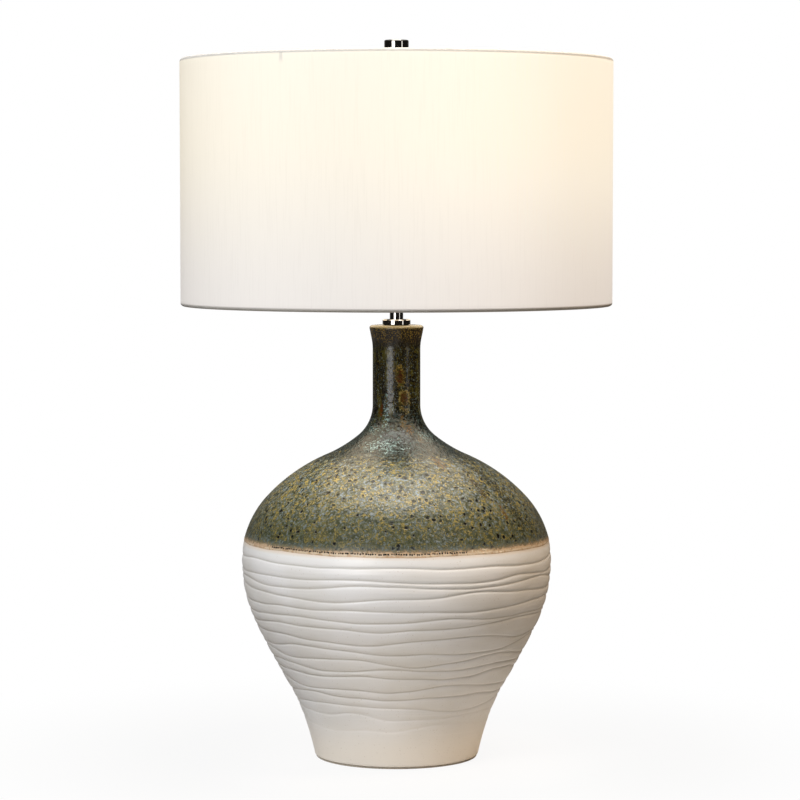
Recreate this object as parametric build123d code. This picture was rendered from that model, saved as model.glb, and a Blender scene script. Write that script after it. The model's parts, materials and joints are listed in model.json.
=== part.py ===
from build123d import *
import os
from math import cos, hypot, radians, sin, sqrt, tan

# A table lamp: a hollow stoneware body clamped on a threaded rod, a lampholder on a short stem, and a fabric
# drum shade that hangs from a wire harp under a finial. Millimetres, +Z up, origin on the table on the axis.

# Ceramic body, by the points where its outline turns; a lean is degrees from level at that point
body_height = 453.0
foot_radius = 86.0
foot_lean = 77.6
foot_round = 1.5
flank_radius = 113.7
flank_height = 78.0
flank_lean = 59.6
belly_radius = 162.2
belly_height = 206.5
shoulder_radius = 74.0
shoulder_height = 317.0
shoulder_lean = 156.7
neck_radius = 24.8
neck_length = 83.0
lip_length = 25.0
lip_radius = 28.2
lip_lean = 78.0
lip_round = 3.0
wall = 7.0
floor_height = 26.0
floor_thickness = 7.0
neck_closure = 10.0

# Foot ring and cord inlet
felt_thickness = 2.0
felt_width = 4.0
cord_height = 14.0
cord_radius = 3.5
cord_clearance = 0.25
grommet_wall = 2.25
grommet_flange = 2.5
grommet_lip = 3.0
grommet_tail = 3.0

# Clamp rod and its fasteners
rod_radius = 5.0
rod_bore_radius = 3.75
rod_tail = 4.0
thread_clearance = 0.05
rod_hole_clearance = 0.5
base_washer_radius = 24.0
base_washer_thickness = 2.0
lock_washer_radius = 9.0
lock_washer_thickness = 2.2
lock_washer_slit = 2.0
base_nut_width = 17.0
base_nut_height = 6.0
bushing_flange = 1.5
bushing_depth = 6.0
bushing_wall = 0.8

# Cap and stem on the neck
gasket_radius = 13.0
gasket_thickness = 1.0
cap_radius = 14.6
cap_height = 5.0
cap_bevel = 0.8
cap_dish = 1.5
stem_radius = 7.0
stem_length = 24.0

# Harp saddle and ferrules
saddle_thickness = 1.8
saddle_width = 12.0
saddle_eye_radius = 13.0
saddle_bend = 0.6
tab_width = 5.0
tab_height = 12.0
saddle_nut_width = 14.0
saddle_nut_height = 4.0
leg_offset = 38.0
leg_clearance = 0.1
ferrule_clearance = 0.25
ferrule_wall = 0.9
ferrule_length = 18.0
ferrule_roof = 1.2

# Harp
harp_height = 230.0
harp_wire_radius = 2.0
harp_leg_straight = 48.0
harp_bow_radius = 57.0
harp_bow_height = 122.0
harp_eye_radius = 7.0
harp_eye_thickness = 2.4
stud_radius = 3.175
stud_length = 16.0
stud_collar_radius = 8.0
stud_collar = 3.0
stud_head_radius = 5.0
stud_head = 1.6

# Lampholder, upwards from the saddle nut
socket_radius = 17.5
socket_cap_wall = 0.8
socket_hub_radius = 8.0
socket_hub_height = 6.0
socket_cap_slope = 8.0
socket_cap_rim = 9.0
socket_grip = 8.0
socket_shell_wall = 0.7
socket_shell_height = 48.0
socket_bead = 0.8
insulator_wall = 0.7
socket_play = 0.1
core_height = 19.0
screw_shell_wall = 0.6
screw_shell_height = 24.0
screw_clearance = 0.3
contact_opening = 6.5
contact_thickness = 0.5
contact_width = 5.0
contact_reach = 4.5
contact_foot = 3.0
contact_rise = 3.0
terminal_radius = 2.6
terminal_head = 1.6
terminal_depth = 4.0
terminal_shank_radius = 1.5
set_screw_radius = 1.6
set_screw_proud = 1.5

# Turn switch on the front of the lampholder
spindle_radius = 1.6
spindle_clearance = 0.1
spindle_margin = 1.6
spindle_depth = 9.0
knob_radius = 6.0
knob_length = 12.0
knob_gap = 2.5
knob_flutes = 10
knob_flute_radius = 1.3

# Bulb
bulb_radius = 30.0
bulb_wall = 1.0
bulb_cap_radius = 13.05
bulb_cap_height = 20.0
bulb_cap_wall = 0.6
bulb_contact_radius = 4.5
bulb_contact_height = 1.5
bulb_insulator_height = 4.0
bulb_collar_height = 38.0
bulb_collar_base = 14.5
bulb_collar_top = 29.0
bulb_collar_lean = 80.0
bulb_collar_wall = 1.5
bulb_plug = 3.0
bulb_belt_height = 8.0
bulb_gap = 0.1

# Shade
shade_radius = 225.0
shade_height = 256.0
fabric_thickness = 0.8
liner_thickness = 0.8
film_bond = 0.2
ring_wire_radius = 1.6
ring_clearance = 0.4
hem_length = 5.0
hub_radius = 19.0
hub_thickness = 2.0
hub_clearance = 0.8
arm_count = 3
arm_first_angle = 240.0
arm_drop = 13.6
arm_wire_radius = 1.5
arm_overlap = 3.0

# Finial
finial_height = 32.2
finial_radius = 12.7
finial_base_radius = 9.5
finial_base_height = 2.5
finial_waist_radius = 6.8
finial_waist_height = 8.0
finial_knob_height = 17.0
finial_round = 1.5
finial_play = 0.3
finial_bore_clearance = 0.075
finial_bore_spare = 2.0

# Levels that follow from the sizes above
foot_level = felt_thickness
cord_wall_radius = foot_radius + (cord_height - foot_level) / tan(radians(foot_lean))
grommet_radius = cord_radius + cord_clearance + grommet_wall
base_washer_level = floor_height - base_washer_thickness
lock_washer_level = base_washer_level - lock_washer_thickness
base_nut_level = lock_washer_level - base_nut_height
rod_bottom = base_nut_level - rod_tail
cap_level = body_height + gasket_thickness
stem_level = cap_level + cap_height
saddle_level = stem_level + stem_length
saddle_top = saddle_level + saddle_thickness
socket_level = saddle_top + saddle_nut_height
socket_slope_level = socket_level + socket_hub_height
rod_top = socket_slope_level + socket_cap_wall
set_screw_level = socket_level + socket_hub_height / 2
socket_rim_level = socket_slope_level + socket_cap_slope
socket_rim_top = socket_rim_level + socket_cap_rim
shell_radius = socket_radius - socket_cap_wall
shell_level = socket_rim_top - socket_grip
shell_top = shell_level + socket_shell_height
insulator_radius = shell_radius - socket_shell_wall - socket_play
core_radius = insulator_radius - insulator_wall - socket_play
core_level = shell_level
core_top = core_level + core_height
terminal_level = core_level + core_height / 2
spindle_level = socket_rim_top + spindle_radius + spindle_margin
knob_face = socket_radius + knob_gap
screw_bore_radius = bulb_cap_radius + screw_clearance
bulb_level = core_top + contact_rise + contact_thickness + bulb_gap
bulb_insulator_level = bulb_level + bulb_contact_height
bulb_cap_level = bulb_insulator_level + bulb_insulator_height
bulb_collar_level = bulb_cap_level + bulb_cap_height
bulb_globe_level = bulb_collar_level + bulb_collar_height
bulb_equator = bulb_globe_level + bulb_belt_height
bulb_shoulder = (bulb_collar_top, bulb_globe_level, bulb_collar_lean)
tab_inner = leg_offset + harp_wire_radius + leg_clearance
tab_outer = tab_inner + saddle_thickness
ferrule_axis = (leg_offset - harp_wire_radius + tab_outer) / 2
ferrule_bore = hypot(tab_outer - ferrule_axis, tab_width / 2) + ferrule_clearance
leg_bottom = saddle_top + saddle_bend + leg_clearance
seat_level = saddle_top + harp_height
eye_top = seat_level - stud_collar
eye_bottom = eye_top - harp_eye_thickness
hub_top = seat_level + hub_thickness
finial_level = hub_top + finial_play
arm_level = seat_level + hub_thickness / 2
shade_top = arm_level + arm_drop
shade_bottom = shade_top - shade_height
liner_radius = shade_radius - fabric_thickness - film_bond
ring_radius = liner_radius - liner_thickness - ring_clearance - ring_wire_radius
roll_radius = fabric_thickness + (film_bond + liner_thickness) / 2 + ring_clearance + ring_wire_radius
top_roll_level = shade_top - roll_radius
bottom_roll_level = shade_bottom + roll_radius
arm_bend = top_roll_level - hem_length - ring_clearance - arm_level


def tangent_arcs(start, end):
    """The outline from one (radius, height, lean) to the next: two arcs that leave and arrive at the leans."""
    first = Vector(start[0], 0, start[1])
    last = Vector(end[0], 0, end[1])
    leave = Vector(cos(radians(start[2])), 0, sin(radians(start[2])))
    arrive = Vector(cos(radians(end[2])), 0, sin(radians(end[2])))
    chord = last - first
    if leave.cross(chord).length < 1e-6:
        return [Line(first, last)]
    spread = 2 * (1 - leave.dot(arrive))
    lead = 2 * chord.dot(leave + arrive)
    span = chord.dot(chord)
    reach = span / lead if spread < 1e-9 else (sqrt(lead**2 + 4 * spread * span) - lead) / (2 * spread)
    middle = (first + leave * reach + last - arrive * reach) / 2
    outward = TangentArc(first, middle, tangent=leave)
    return [outward, TangentArc(middle, last, tangent=outward % 1)]


def outline_through(stations):
    """The tangent arcs through a list of (radius, height, lean) stations."""
    return [arc for pair in zip(stations, stations[1:]) for arc in tangent_arcs(*pair)]


def moved_in(stations, depth):
    """The same stations on a surface that lies deeper by depth, square to the outline."""
    return [(r - depth * sin(radians(lean)), z + depth * cos(radians(lean)), lean) for r, z, lean in stations]


def spun(edges):
    """The solid that a closed outline in the XZ plane sweeps about Z."""
    return revolve(make_face(edges), axis=Axis.Z)


def line_chain(*points):
    """Straight edges through (radius, height) points in the XZ plane."""
    return Polyline(*[(r, 0, z) for r, z in points]).edges()


def turned(*points):
    """A lathe-turned piece from its closed outline of (radius, height) points."""
    return spun(line_chain(*points, points[0]))


def disc(radius, bottom, top):
    """A round bar or disc about Z."""
    return Pos(0, 0, bottom) * extrude(Circle(radius), top - bottom)


def tube(inner, outer, bottom, top):
    """A plain ring or sleeve about Z."""
    return disc(outer, bottom, top) - disc(inner, bottom, top)


def along_x(radius, start, end, height):
    """A round bar along X, from start to end, at a height."""
    return Pos(start, 0, height) * Rot(0, 90, 0) * extrude(Circle(radius), end - start)


def along_y(radius, start, end, height):
    """A round bar along Y, from start to end, at a height."""
    return Pos(0, start, height) * Rot(-90, 0, 0) * extrude(Circle(radius), end - start)


def spindle_hole(clearance):
    """The hole for the switch spindle, from the front of the lampholder to the spindle's inner end."""
    return along_y(spindle_radius + clearance, -socket_radius, spindle_depth - core_radius, spindle_level)


def hex_nut(width, height, level):
    """A hexagon nut on the clamp rod."""
    blank = Pos(0, 0, level) * extrude(RegularPolygon(width / 2, 6, major_radius=False), height)
    return blank - disc(rod_radius + thread_clearance, level, level + height)


def ceramic_body():
    """One wall of even thickness from foot to lip, a floor above the foot recess and a closed top."""
    land = (foot_radius - foot_round, foot_level, 0)
    climb = [
        (foot_radius, foot_level + foot_round, foot_lean),
        (flank_radius, flank_height, flank_lean),
        (belly_radius, belly_height, 90),
        (shoulder_radius, shoulder_height, shoulder_lean),
        (neck_radius, body_height - neck_length, 90),
        (neck_radius, body_height - lip_length, 90),
    ]
    lip = (lip_radius, body_height - lip_round, lip_lean)
    rim = (lip_radius - lip_round, body_height, 180)
    skin = outline_through([land, *climb, lip, rim])
    outside = spun(skin + line_chain(rim[:2], (0, body_height), (0, foot_level), land[:2]))

    lining = moved_in(climb, wall)
    mouth_radius, mouth_level, _ = lining[0]
    throat_radius, throat_level, _ = lining[-1]
    ceiling = body_height - neck_closure
    throat = line_chain((throat_radius, throat_level), (throat_radius, ceiling), (0, ceiling), (0, 0))
    mouth = line_chain((0, 0), (mouth_radius, 0), (mouth_radius, mouth_level))
    hollow = spun(outline_through(lining) + throat + mouth)
    hollow -= disc(belly_radius, floor_height, floor_height + floor_thickness)

    rod_hole = disc(rod_radius + rod_hole_clearance, 0, body_height)
    cord_hole = along_y(grommet_radius, mouth_radius - wall, belly_radius, cord_height)
    return outside - hollow - rod_hole - cord_hole


def cord_grommet(body):
    """A bush through the wall of the foot, with a flange moulded to the outside of the wall."""
    inner_end = cord_wall_radius - wall / sin(radians(foot_lean)) - grommet_tail
    outer_end = cord_wall_radius + grommet_lip
    flange_start = cord_wall_radius - wall / 2
    flange = along_y(grommet_radius + grommet_flange, flange_start, outer_end, cord_height) - body
    bush = along_y(grommet_radius, inner_end, outer_end, cord_height) + flange
    return bush - along_y(cord_radius + cord_clearance, inner_end, outer_end, cord_height)


def foot_felt_ring():
    """A felt ring glued to the flat of the foot."""
    outer = foot_radius - foot_round
    return tube(outer - felt_width, outer, 0, felt_thickness)


def lock_washer():
    """A split spring washer between the base washer and its nut."""
    ring = tube(rod_radius + thread_clearance, lock_washer_radius, lock_washer_level, base_washer_level)
    slit_place = Pos(lock_washer_radius, 0, lock_washer_level)
    return ring - slit_place * Box(2 * (lock_washer_radius - rod_radius), lock_washer_slit, 4 * lock_washer_thickness)


def rod_end_bushing():
    """A flanged liner that covers the cut end of the rod, where the wires come out."""
    inner = rod_bore_radius - bushing_wall
    return turned(
        (inner, rod_bottom - bushing_flange),
        (rod_radius, rod_bottom - bushing_flange),
        (rod_radius, rod_bottom),
        (rod_bore_radius, rod_bottom),
        (rod_bore_radius, rod_bottom + bushing_depth),
        (inner, rod_bottom + bushing_depth),
    )


def vase_cap():
    """The nickel cap on the lip, bevelled on top and dished below."""
    bore = rod_radius + thread_clearance
    dish_radius = gasket_radius - 2 * cap_dish
    return turned(
        (bore, cap_level + cap_dish),
        (dish_radius - cap_dish, cap_level + cap_dish),
        (dish_radius, cap_level),
        (cap_radius, cap_level),
        (cap_radius, stem_level - cap_bevel),
        (cap_radius - cap_bevel, stem_level),
        (bore, stem_level),
    )


def harp_saddle():
    """A bent strip with an eye on the rod and an upturned tab beside each leg of the harp."""
    tab_top = saddle_top + tab_height
    corners = [
        (-tab_outer, tab_top, 0),
        (-tab_outer, saddle_level, saddle_bend + saddle_thickness),
        (tab_outer, saddle_level, saddle_bend + saddle_thickness),
        (tab_outer, tab_top, 0),
        (tab_inner, tab_top, 0),
        (tab_inner, saddle_top, saddle_bend),
        (-tab_inner, saddle_top, saddle_bend),
        (-tab_inner, tab_top, 0),
    ]
    bent = FilletPolyline(*[(x, 0, z) for x, z, _ in corners], radius=[bend for _, _, bend in corners], close=True)
    strip = extrude(make_face(bent.edges()), saddle_width / 2, both=True, dir=(0, 1, 0))
    shoulder = Box(3 * saddle_width, saddle_width, 2 * tab_height, align=(Align.CENTER, Align.MIN, Align.MIN))
    for side in (-1, 1):
        notch = Pos(side * tab_inner, tab_width / 2, saddle_top) * shoulder
        strip -= notch
        strip -= mirror(notch, about=Plane.XZ)
    eye = disc(saddle_eye_radius, saddle_level, saddle_top)
    return strip + eye - disc(rod_radius + thread_clearance, saddle_level, saddle_top)


def ferrule(side):
    """A drawn sleeve that holds a leg of the harp against its tab, with a roof that runs on the wire."""
    top = saddle_top + ferrule_length
    cup = disc(ferrule_bore + ferrule_wall, saddle_top, top) - disc(ferrule_bore, saddle_top, top - ferrule_roof)
    wire_hole = disc(harp_wire_radius + ferrule_clearance, saddle_top, top)
    return Pos(side * ferrule_axis, 0, 0) * cup - Pos(side * leg_offset, 0, 0) * wire_hole


def harp_bow():
    """A wire with straight legs and a wide bow, flattened at the top into an eye for the stud."""
    wire_top = (eye_top + eye_bottom) / 2
    path = outline_through([
        (leg_offset, leg_bottom, 90),
        (leg_offset, saddle_top + harp_leg_straight, 90),
        (harp_bow_radius, saddle_top + harp_bow_height, 90),
        (harp_eye_radius, wire_top, 180),
        (0, wire_top, 180),
    ])
    half = sweep(Pos(leg_offset, 0, leg_bottom) * Circle(harp_wire_radius), path=Wire(path))
    bow = half + mirror(half, about=Plane.YZ) + disc(harp_eye_radius, eye_bottom, eye_top)
    spot_radius = stud_collar_radius + leg_clearance
    bow -= disc(spot_radius, eye_top, seat_level)
    bow -= disc(spot_radius, eye_bottom - stud_collar, eye_bottom)
    return bow - disc(stud_radius, eye_bottom, eye_top)


def harp_stud():
    """The stud riveted through the eye: head below, seat for the shade's hub above, then the thread."""
    return turned(
        (0, eye_bottom - stud_head),
        (stud_head_radius, eye_bottom - stud_head),
        (stud_head_radius, eye_bottom),
        (stud_radius, eye_bottom),
        (stud_radius, eye_top),
        (stud_collar_radius, eye_top),
        (stud_collar_radius, seat_level),
        (stud_radius, seat_level),
        (stud_radius, seat_level + stud_length),
        (0, seat_level + stud_length),
    )


def socket_cap():
    """The drawn cup that screws on the rod, with a hub for its set screw."""
    bore = rod_radius + thread_clearance
    cup = turned(
        (bore, socket_level),
        (socket_hub_radius, socket_level),
        (socket_hub_radius, socket_slope_level),
        (socket_radius, socket_rim_level),
        (socket_radius, socket_rim_top),
        (shell_radius, socket_rim_top),
        (shell_radius, socket_rim_level),
        (socket_hub_radius, rod_top),
        (bore, rod_top),
    )
    return cup - along_y(set_screw_radius, 0, socket_radius, set_screw_level)


def socket_shell():
    """The outer sleeve of the lampholder, beaded at its mouth, with a hole for the switch spindle."""
    inner = shell_radius - socket_shell_wall
    sleeve = turned(
        (inner, shell_level),
        (shell_radius, shell_level),
        (shell_radius, shell_top - 3 * socket_bead),
        (shell_radius + socket_bead, shell_top - 2 * socket_bead),
        (shell_radius + socket_bead, shell_top - socket_bead),
        (shell_radius, shell_top),
        (inner, shell_top),
    )
    return sleeve - spindle_hole(spindle_margin)


def socket_insulator():
    """The fibre sleeve between the metal shell and the live parts."""
    sleeve = tube(insulator_radius - insulator_wall, insulator_radius, shell_level, shell_top - socket_bead)
    return sleeve - spindle_hole(spindle_margin)


def socket_core():
    """The moulded block that carries the switch, the terminals and the screw shell."""
    core = disc(core_radius, core_level, core_top) - spindle_hole(spindle_clearance)
    pocket = Box(2 * terminal_depth, 3 * terminal_radius, 3 * terminal_radius)
    for side in (-1, 1):
        core -= Pos(side * core_radius, 0, terminal_level) * pocket
    return core - along_x(terminal_shank_radius, -core_radius, core_radius, terminal_level)


def socket_terminals():
    """Two terminal screws in the pockets of the core."""
    seat = core_radius - terminal_depth
    screw = along_x(terminal_radius, seat, seat + terminal_head, terminal_level)
    screw += along_x(terminal_shank_radius, seat - terminal_depth, seat, terminal_level)
    return Compound([screw, mirror(screw, about=Plane.YZ)])


def socket_screw_shell():
    """The screw sleeve that takes the bulb, on a flange round the centre contact."""
    outer = screw_bore_radius + screw_shell_wall
    flange_top = core_top + screw_shell_wall
    top = core_top + screw_shell_height
    return turned(
        (contact_opening, core_top),
        (outer, core_top),
        (outer, top),
        (screw_bore_radius, top),
        (screw_bore_radius, flange_top),
        (contact_opening, flange_top),
    )


def socket_contact():
    """A sprung leaf on the core that rises to the tip of the bulb."""
    knee = contact_foot - contact_reach
    crest = knee + contact_rise
    turn = contact_thickness * tan(radians(45 / 2))
    rise = core_top + contact_rise
    leaf = line_chain(
        (-contact_reach, core_top),
        (knee, core_top),
        (crest, rise),
        (contact_reach, rise),
        (contact_reach, rise + contact_thickness),
        (crest - turn, rise + contact_thickness),
        (knee - turn, core_top + contact_thickness),
        (-contact_reach, core_top + contact_thickness),
        (-contact_reach, core_top),
    )
    return extrude(make_face(leaf), contact_width / 2, both=True, dir=(0, 1, 0))


def switch_knob():
    """A fluted knob with a domed end, on the front end of the spindle."""
    dome = knob_radius / 4
    blank = turned(
        (0, 0),
        (knob_radius - dome, 0),
        (knob_radius, dome),
        (knob_radius, knob_length - dome),
        (knob_radius - dome, knob_length),
        (0, knob_length),
    )
    flute = disc(knob_flute_radius, dome, knob_length)
    for flute_place in PolarLocations(knob_radius, knob_flutes):
        blank -= flute_place * flute
    blank -= disc(spindle_radius, 0, knob_length - 2 * dome)
    return Pos(0, -knob_face, spindle_level) * Rot(90, 0, 0) * blank


def switch_spindle():
    """The round spindle from the core to the knob."""
    front = knob_face + knob_length - knob_radius / 2
    return along_y(spindle_radius, -front, spindle_depth - core_radius, spindle_level)


def bulb_insulator():
    """The glass bead between the tip and the screw cap of the bulb."""
    plug_radius = bulb_cap_radius - bulb_cap_wall
    return turned(
        (0, bulb_insulator_level),
        (bulb_contact_radius, bulb_insulator_level),
        (plug_radius, bulb_cap_level),
        (plug_radius, bulb_cap_level + bulb_plug),
        (0, bulb_cap_level + bulb_plug),
    )


def bulb_collar():
    """The flared housing of the bulb, plugged into its screw cap."""
    flare = [(bulb_collar_base, bulb_collar_level, bulb_collar_lean), bulb_shoulder]
    inner = moved_in(flare, bulb_collar_wall)
    plug_outer = bulb_cap_radius - bulb_cap_wall
    plug_inner = plug_outer - bulb_collar_wall
    foot = line_chain(
        flare[0][:2],
        (plug_outer, bulb_collar_level),
        (plug_outer, bulb_collar_level - bulb_plug),
        (plug_inner, bulb_collar_level - bulb_plug),
        (plug_inner, inner[0][1]),
        inner[0][:2],
    )
    return spun(outline_through(flare) + outline_through(inner) + foot + line_chain(flare[1][:2], inner[1][:2]))


def bulb_globe():
    """The opal dome of the bulb."""
    dome = [bulb_shoulder, (bulb_radius, bulb_equator, 90), (0, bulb_equator + bulb_radius, 180)]
    inner = moved_in(dome, bulb_wall)
    ends = [line_chain(outside[:2], inside[:2]) for outside, inside in ((dome[0], inner[0]), (dome[2], inner[2]))]
    return spun(outline_through(dome) + outline_through(inner) + ends[0] + ends[1])


def shade_fabric():
    """The cloth drum, rolled inwards over the wire ring at each end and tucked behind it."""
    outer = shade_radius
    middle = shade_radius - roll_radius
    tuck = middle - roll_radius
    inner = outer - fabric_thickness
    behind = tuck + fabric_thickness
    edges = line_chain((outer, bottom_roll_level), (outer, top_roll_level))
    edges += line_chain((inner, bottom_roll_level), (inner, top_roll_level))
    for level, end, hem in (
        (top_roll_level, shade_top, top_roll_level - hem_length),
        (bottom_roll_level, shade_bottom, bottom_roll_level + hem_length),
    ):
        under = end + (fabric_thickness if end < level else -fabric_thickness)
        edges.append(ThreePointArc((outer, 0, level), (middle, 0, end), (tuck, 0, level)))
        edges.append(ThreePointArc((inner, 0, level), (middle, 0, under), (behind, 0, level)))
        edges += line_chain((tuck, level), (tuck, hem), (behind, hem), (behind, level))
    return spun(edges)


def shade_ring(level):
    """A wire ring inside a rolled edge."""
    return Pos(0, 0, level) * Torus(ring_radius, ring_wire_radius)


def spider_hub():
    """The flat hub that sits on the harp's stud."""
    return tube(stud_radius + hub_clearance, hub_radius, seat_level, hub_top)


def spider_arms():
    """Three wires from the hub to the top ring, level and then bent up under the hem."""
    path = FilletPolyline(
        (hub_radius - arm_overlap, 0, arm_level),
        (ring_radius, 0, arm_level),
        (ring_radius, 0, top_roll_level),
        radius=arm_bend,
    )
    section = Plane((hub_radius - arm_overlap, 0, arm_level), z_dir=(1, 0, 0)) * Circle(arm_wire_radius)
    arm = sweep(section, path=path) - spider_hub() - shade_ring(top_roll_level)
    return Compound([Rot(0, 0, arm_first_angle + 360 * i / arm_count) * arm for i in range(arm_count)])


def finial():
    """A drum knob on a waisted neck, with a blind bore for the stud."""
    knob_level = finial_level + finial_knob_height
    top = finial_level + finial_height
    stations = [
        (finial_base_radius, finial_level + finial_base_height, 150),
        (finial_waist_radius, finial_level + finial_waist_height, 90),
        (finial_radius - finial_round, knob_level - finial_round, 20),
        (finial_radius, knob_level, 90),
        (finial_radius, top - finial_round, 90),
        (finial_radius - finial_round, top, 180),
    ]
    rest = line_chain(
        stations[-1][:2],
        (0, top),
        (0, finial_level),
        (finial_base_radius, finial_level),
        stations[0][:2],
    )
    bore_top = seat_level + stud_length + finial_bore_spare
    return spun(outline_through(stations) + rest) - disc(stud_radius + finial_bore_clearance, finial_level, bore_top)


def lamp_pieces():
    """Every piece of the lamp by name, from the table up."""
    thread_bore = rod_radius + thread_clearance
    body = ceramic_body()
    return {
        "ceramic_body": body,
        "foot_felt_ring": foot_felt_ring(),
        "cord_grommet": cord_grommet(body),
        "threaded_rod": tube(rod_bore_radius, rod_radius, rod_bottom, rod_top),
        "base_washer": tube(thread_bore, base_washer_radius, base_washer_level, floor_height),
        "base_lock_washer": lock_washer(),
        "base_nut": hex_nut(base_nut_width, base_nut_height, base_nut_level),
        "rod_end_bushing": rod_end_bushing(),
        "neck_gasket": tube(rod_radius + rod_hole_clearance, gasket_radius, body_height, cap_level),
        "vase_cap": vase_cap(),
        "stem_tube": tube(rod_radius + rod_hole_clearance, stem_radius, stem_level, saddle_level),
        "harp_saddle": harp_saddle(),
        "saddle_nut": hex_nut(saddle_nut_width, saddle_nut_height, saddle_top),
        "socket_cap": socket_cap(),
        "socket_set_screw": along_y(set_screw_radius, thread_bore, socket_hub_radius + set_screw_proud, set_screw_level),
        "socket_shell": socket_shell(),
        "socket_insulator": socket_insulator(),
        "socket_core": socket_core(),
        "socket_terminals": socket_terminals(),
        "socket_screw_shell": socket_screw_shell(),
        "socket_contact": socket_contact(),
        "switch_spindle": switch_spindle(),
        "switch_knob": switch_knob(),
        "bulb_contact": disc(bulb_contact_radius, bulb_level, bulb_insulator_level),
        "bulb_insulator": bulb_insulator(),
        "bulb_cap": tube(bulb_cap_radius - bulb_cap_wall, bulb_cap_radius, bulb_cap_level, bulb_collar_level),
        "bulb_collar": bulb_collar(),
        "bulb_globe": bulb_globe(),
        "harp_bow": harp_bow(),
        "harp_stud": harp_stud(),
        "left_ferrule": ferrule(-1),
        "right_ferrule": ferrule(1),
        "spider_hub": spider_hub(),
        "spider_arms": spider_arms(),
        "shade_top_ring": shade_ring(top_roll_level),
        "shade_bottom_ring": shade_ring(bottom_roll_level),
        "shade_liner": tube(liner_radius - liner_thickness, liner_radius, bottom_roll_level, top_roll_level),
        "shade_fabric": shade_fabric(),
        "finial": finial(),
    }


def main():
    os.makedirs("parts", exist_ok=True)
    for name, piece in lamp_pieces().items():
        export_step(piece, f"parts/{name}.step")


if __name__ == "__main__":
    main()
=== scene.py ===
import json
from functools import partial
from math import cos, pi, radians, sin, sqrt

import bpy
import numpy as np
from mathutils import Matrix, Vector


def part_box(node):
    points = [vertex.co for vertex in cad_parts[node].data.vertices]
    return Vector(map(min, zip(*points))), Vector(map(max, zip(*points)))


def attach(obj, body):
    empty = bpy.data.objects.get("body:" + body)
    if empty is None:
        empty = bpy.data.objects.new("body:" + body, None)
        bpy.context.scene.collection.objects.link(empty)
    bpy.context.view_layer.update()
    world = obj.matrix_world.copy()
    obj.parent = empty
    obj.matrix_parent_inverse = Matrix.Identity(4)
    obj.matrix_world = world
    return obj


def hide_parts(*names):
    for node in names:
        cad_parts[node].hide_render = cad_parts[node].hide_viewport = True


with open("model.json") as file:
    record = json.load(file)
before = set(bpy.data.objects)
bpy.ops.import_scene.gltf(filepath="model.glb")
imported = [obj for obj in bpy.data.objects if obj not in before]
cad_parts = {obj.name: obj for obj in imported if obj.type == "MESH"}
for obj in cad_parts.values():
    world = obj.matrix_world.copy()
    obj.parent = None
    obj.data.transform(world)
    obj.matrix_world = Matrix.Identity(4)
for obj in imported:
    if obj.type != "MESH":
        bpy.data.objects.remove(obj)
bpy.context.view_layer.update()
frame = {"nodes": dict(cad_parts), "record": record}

MM = 0.001
TINY = 1e-8
MATH = "ShaderNodeMath"
VECTOR = "ShaderNodeVectorMath"
SPLIT = "ShaderNodeSeparateXYZ"
PLACED = "ShaderNodeMapping"
RANGE = "ShaderNodeMapRange"
NOISE = "ShaderNodeTexNoise"
MIX = "ShaderNodeMix"
BUMP = "ShaderNodeBump"
NAMED = "GeometryNodeInputNamedAttribute"
STORE = "GeometryNodeStoreNamedAttribute"

# Sizes are in millimetres where no other unit is given

# The ceramic body's outline: radius, height and lean from level in degrees, where it turns
FOOT_LAND = (84.5, 2.0, 0.0)
BODY_TURNS = [
    (86.0, 3.5, 77.6),
    (113.7, 78.0, 59.6),
    (162.2, 206.5, 90.0),
    (74.0, 317.0, 156.7),
    (24.8, 370.0, 90.0),
    (24.8, 428.0, 90.0),
]
LIP_TOP = 453.0
LIP_TURNS = [(28.2, 450.0, 78.0), (25.2, LIP_TOP, 180.0)]
WALL = 7.0
FLOOR_BOTTOM = 26.0
FLOOR_TOP = 33.0
NECK_CEILING = 443.0
ROD_HOLE_RADIUS = 5.5
CORD_HOLE_RADIUS = 6.0
CORD_HOLE_HEIGHT = 14.0
CORD_HOLE_REACH = (60.0, 110.0)
CORD_HOLE_SIDES = 48
SKIN_STEP = 0.9
LINING_STEP = 8.0
BODY_SEGMENTS = 240

# Incised rings of the bare stoneware, each cut between soft pillows; RING_APART keeps the noise that bends
# one ring away from the next ring's
RING_COUNT = 17
RING_FIRST = 214.0
RING_SPACING = 10.6
RING_WANDER = 26.0
RING_WAVES = 1.15
RING_WIDTH = 1.1
RING_DEPTH = 0.75
PILLOW_WIDTH = 4.4
PILLOW_DEPTH = 0.4
RING_FADE = (25.0, 75.0)
RING_MERGE = 3.0
RING_APART = 7.31
RING_SEED = 3.7

# Glaze coat
GLAZE_LINE = 226.8
GLAZE_COAT = 0.14
GLAZE_ROLL = 0.3
GLAZE_ROLL_HEIGHT = 6.0
GLAZE_TOE = 0.7
GLAZE_SEAT = 245.0
GLAZE_DIP = 1.4
GLAZE_WOBBLE = 0.7
GLAZE_WOBBLE_HEIGHT = 6.0
GLAZE_RIPPLES = [(0.5, 5, 0.6), (0.3, 11, 2.1), (0.25, 23, 0.0)]
BARE_LIP = 1.0
LIP_FEATHER = 10.0
BOND_MARGIN = 1.0
BOND_STRIDE = 6

# Burst bubbles along the glaze line: spacing, sizes and how far each strays, and the arcs they lie on, in
# degrees from the front
BUBBLE_SPACING = 2.6
BUBBLE_STRAY = 0.25
BUBBLE_RADIUS = 1.1
BUBBLE_SMALLEST = 0.7
BUBBLE_RISE = 3.6
BUBBLE_LIFT = 0.35
BUBBLE_FOLLOW = 0.7
BUBBLE_ARCS = [(-52, 27), (96, 138), (165, 264)]
BUBBLE_PLACE_SEED = 11
BUBBLE_SIZE_SEED = 5

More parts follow.
